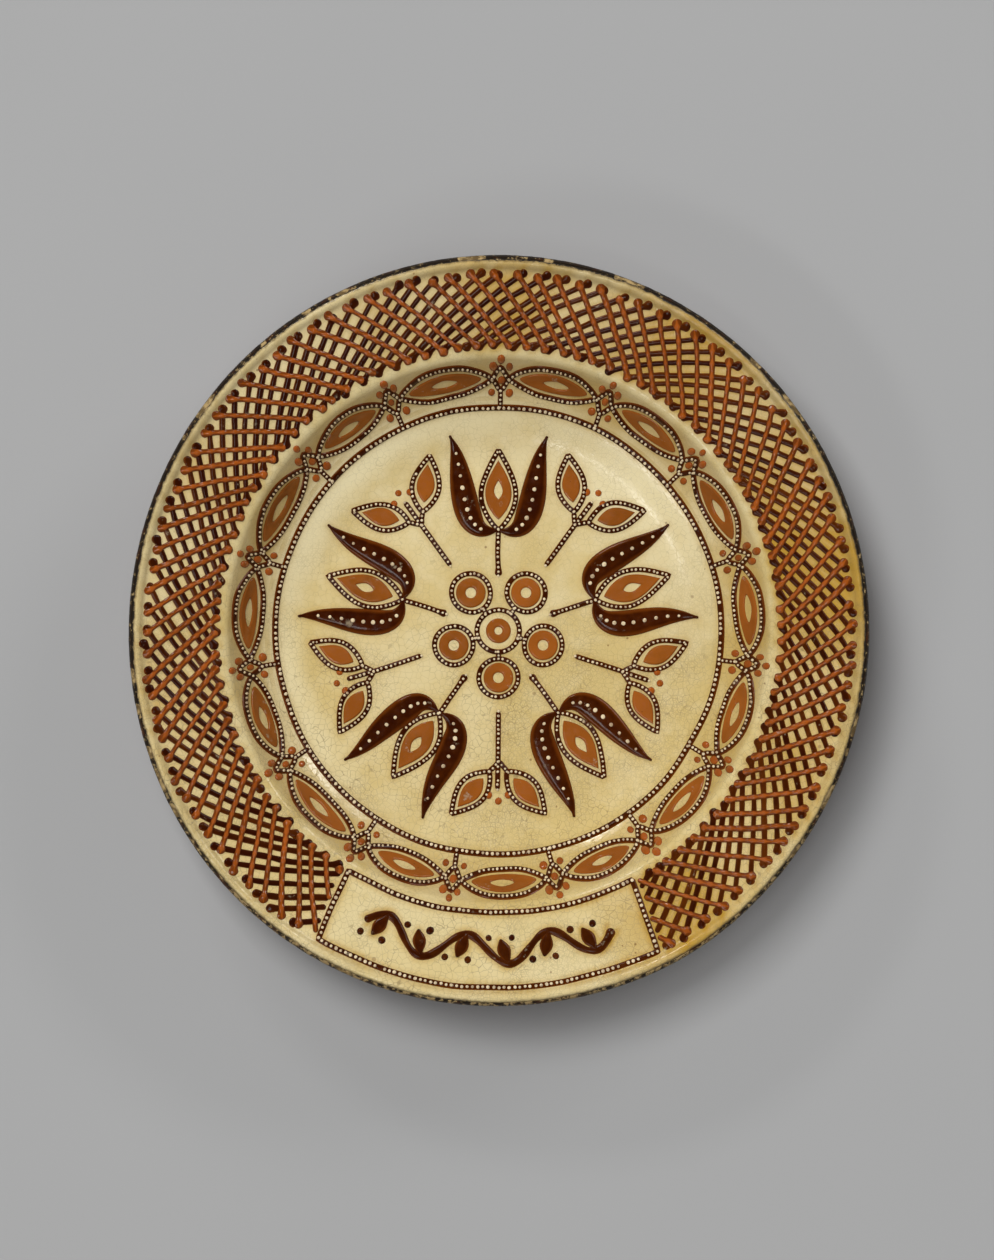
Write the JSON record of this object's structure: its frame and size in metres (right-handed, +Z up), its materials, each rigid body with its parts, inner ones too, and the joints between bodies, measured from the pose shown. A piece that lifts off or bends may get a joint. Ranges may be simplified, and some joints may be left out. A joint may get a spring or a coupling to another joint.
{
  "type": "slipware dish",
  "caption": "Large round earthenware dish with a bowl-shaped well and broad flange, slip-trailed with a trellis border, a leaf chain and a wheel of flowers.",
  "frame": {"origin": "middle of the flat base that the dish stands on", "axes": "+Z up out of the well; +Y towards the middle of the trellis, with the framed panel at -Y, nearest a viewer who sees the dish as in the picture; +X to that viewer's right"},
  "size_m": [0.4396, 0.4396, 0.0658],
  "materials": {
    "clay": "red-buff earthenware, matt and turned on the back, under clear glaze and worn dark brown at the lip",
    "cream_slip": "cream slip under a glossy honey-toned lead glaze with a fine crackle and dark specks",
    "dark_slip": "dark brown trailed slip under the same glossy glaze",
    "orange_slip": "orange-brown trailed slip under the same glossy glaze"
  },
  "bodies": {
    "root": {"clay_body": "clay", "cream_coat": "cream_slip", "rim_trellis": "orange_slip", "panel_frame": "dark_slip", "panel_vine": "dark_slip", "leaf_chain": "dark_slip", "chain_leaf_01": "orange_slip", "chain_leaf_02": "orange_slip", "chain_leaf_03": "orange_slip", "chain_leaf_04": "orange_slip", "chain_leaf_05": "orange_slip", "chain_leaf_06": "orange_slip", "chain_leaf_07": "orange_slip", "chain_leaf_08": "orange_slip", "chain_leaf_09": "orange_slip", "chain_leaf_10": "orange_slip", "chain_leaf_11": "orange_slip", "chain_leaf_12": "orange_slip", "chain_leaf_13": "orange_slip", "chain_leaf_14": "orange_slip", "chain_leaf_15": "orange_slip", "rosette_hub": "orange_slip", "rosette_outline": "dark_slip", "rosette_petal_01": "orange_slip", "tulip_01": "dark_slip", "tulip_heart_01": "orange_slip", "sprig_01": "dark_slip", "sprig_leaf_01": "orange_slip", "sprig_leaf_02": "orange_slip", "rosette_petal_02": "orange_slip", "tulip_02": "dark_slip", "tulip_heart_02": "orange_slip", "sprig_02": "dark_slip", "sprig_leaf_03": "orange_slip", "sprig_leaf_04": "orange_slip", "rosette_petal_03": "orange_slip", "tulip_03": "dark_slip", "tulip_heart_03": "orange_slip", "sprig_03": "dark_slip", "sprig_leaf_05": "orange_slip", "sprig_leaf_06": "orange_slip", "rosette_petal_04": "orange_slip", "tulip_04": "dark_slip", "tulip_heart_04": "orange_slip", "sprig_04": "dark_slip", "sprig_leaf_07": "orange_slip", "sprig_leaf_08": "orange_slip", "rosette_petal_05": "orange_slip", "tulip_05": "dark_slip", "tulip_heart_05": "orange_slip", "sprig_05": "dark_slip", "sprig_leaf_09": "orange_slip", "sprig_leaf_10": "orange_slip"}
  },
  "joints": []
}
